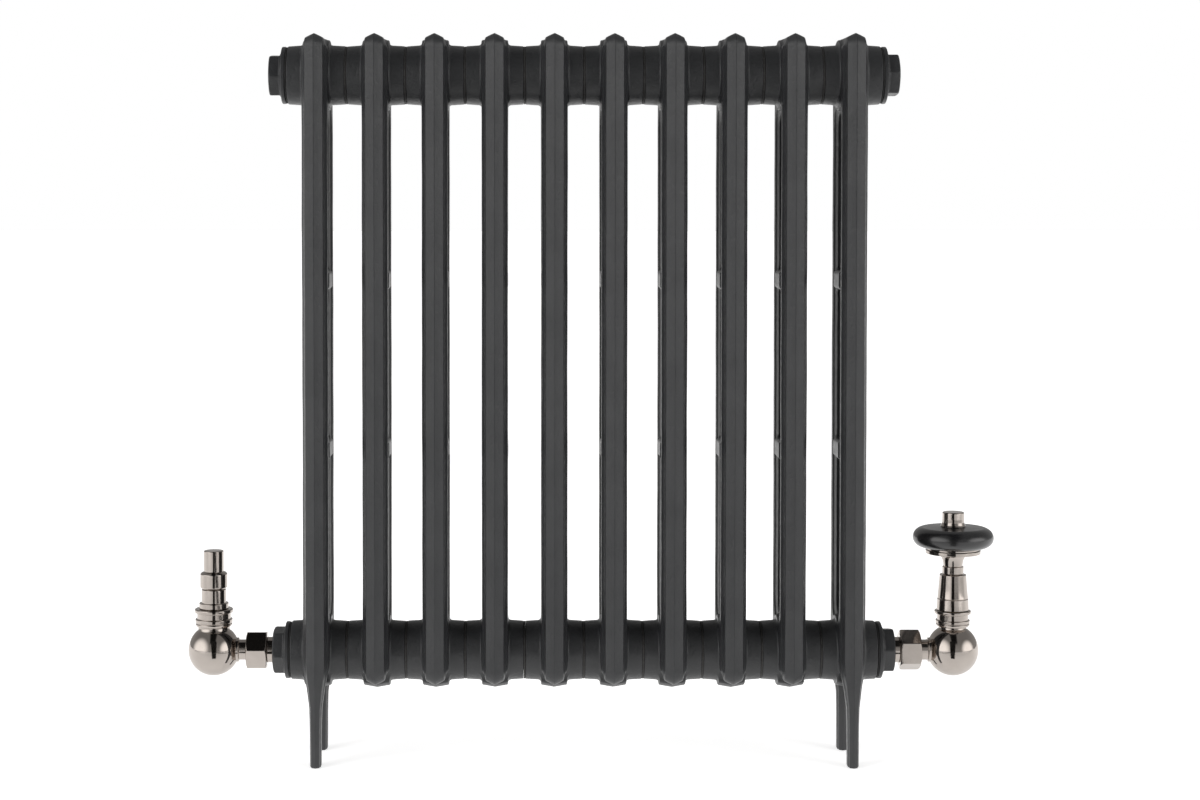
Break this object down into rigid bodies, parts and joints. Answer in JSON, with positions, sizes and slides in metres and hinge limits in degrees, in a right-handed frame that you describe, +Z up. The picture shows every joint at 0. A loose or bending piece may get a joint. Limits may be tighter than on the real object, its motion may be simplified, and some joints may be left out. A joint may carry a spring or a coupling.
{
  "type": "cast iron radiator",
  "caption": "Free-standing two-column cast iron radiator on cast feet, with plugged ends, a thermostatic valve and a lockshield valve.",
  "frame": {"origin": "middle of the whole width and depth, on the floor", "axes": "+X along the row of sections towards the thermostatic valve, +Y from the front to the wall, +Z up"},
  "size_m": [0.8214, 0.1, 0.7365],
  "materials": {
    "paint": "satin charcoal paint over a fine cast grain",
    "iron": "machined malleable iron",
    "gasket": "matt black sealing ring",
    "nickel": "polished nickel plate, slightly warm, on brass",
    "black": "gloss black",
    "brass": "machined brass",
    "steel": "ground stainless steel"
  },
  "bodies": {
    "radiator": {"section_01": "paint", "section_02": "paint", "section_03": "paint", "section_04": "paint", "section_05": "paint", "section_06": "paint", "section_07": "paint", "section_08": "paint", "section_09": "paint", "section_10": "paint", "nipple_top_01": "iron", "nipple_bottom_01": "iron", "nipple_top_02": "iron", "nipple_bottom_02": "iron", "nipple_top_03": "iron", "nipple_bottom_03": "iron", "nipple_top_04": "iron", "nipple_bottom_04": "iron", "nipple_top_05": "iron", "nipple_bottom_05": "iron", "nipple_top_06": "iron", "nipple_bottom_06": "iron", "nipple_top_07": "iron", "nipple_bottom_07": "iron", "nipple_top_08": "iron", "nipple_bottom_08": "iron", "nipple_top_09": "iron", "nipple_bottom_09": "iron", "plug_top_left": "paint", "plug_gasket_left": "gasket", "bush_bottom_left": "paint", "bush_gasket_left": "gasket", "plug_top_right": "paint", "plug_gasket_right": "gasket", "bush_bottom_right": "paint", "bush_gasket_right": "gasket", "trv_union_tail": "nickel", "trv_union_nut": "nickel", "trv_inlet_nut": "nickel", "trv_inlet_olive": "brass", "trv_body": "nickel", "trv_insert": "brass", "trv_bell": "nickel", "lockshield_union_tail": "nickel", "lockshield_union_nut": "nickel", "lockshield_inlet_nut": "nickel", "lockshield_inlet_olive": "brass", "lockshield_body": "nickel", "lockshield_headwork": "nickel"},
    "trv_head": {"trv_head_stem": "nickel", "trv_wheel": "black", "trv_wheel_cap": "nickel"},
    "trv_plunger": {"trv_sensor_capsule": "brass", "trv_pin": "steel", "trv_valve_disc": "gasket"},
    "lockshield_cover": {"lockshield_cap": "nickel"},
    "lockshield_screw": {"lockshield_spindle": "brass"},
    "lockshield_stopper": {"lockshield_valve_disc": "gasket"},
    "air_vent": {"air_vent_screw": "brass"}
  },
  "joints": [
    {"name": "trv_wheel_turn", "type": "hinge", "parent": "radiator", "child": "trv_head", "pos_m": [0.36965, 0, 0.2], "axis": [0, 0, 1], "range_deg": [-150, 150]},
    {"name": "trv_plunger_travel", "type": "slide", "parent": "radiator", "child": "trv_plunger", "axis": [0, 0, 1], "range_m": [-0.0012, 0.0012]},
    {"name": "lockshield_cap_lift", "type": "slide", "parent": "radiator", "child": "lockshield_cover", "axis": [0, 0, 1], "range_m": [0, 0.045]},
    {"name": "lockshield_screw_turn", "type": "hinge", "parent": "radiator", "child": "lockshield_screw", "pos_m": [-0.38435, 0, 0.18], "axis": [0, 0, 1], "range_deg": [-540, 0]},
    {"name": "lockshield_stopper_travel", "type": "slide", "parent": "radiator", "child": "lockshield_stopper", "axis": [0, 0, 1], "range_m": [-0.0024, 0]},
    {"name": "air_vent_turn", "type": "hinge", "parent": "radiator", "child": "air_vent", "pos_m": [0.30265, 0, 0.696], "axis": [1, 0, 0], "range_deg": [0, 360]}
  ],
  "couplings": [
    {"joint": "trv_plunger_travel", "follows": "trv_wheel_turn", "m_per_rad": 0.00045},
    {"joint": "lockshield_stopper_travel", "follows": "lockshield_screw_turn", "m_per_rad": 0.00025}
  ]
}
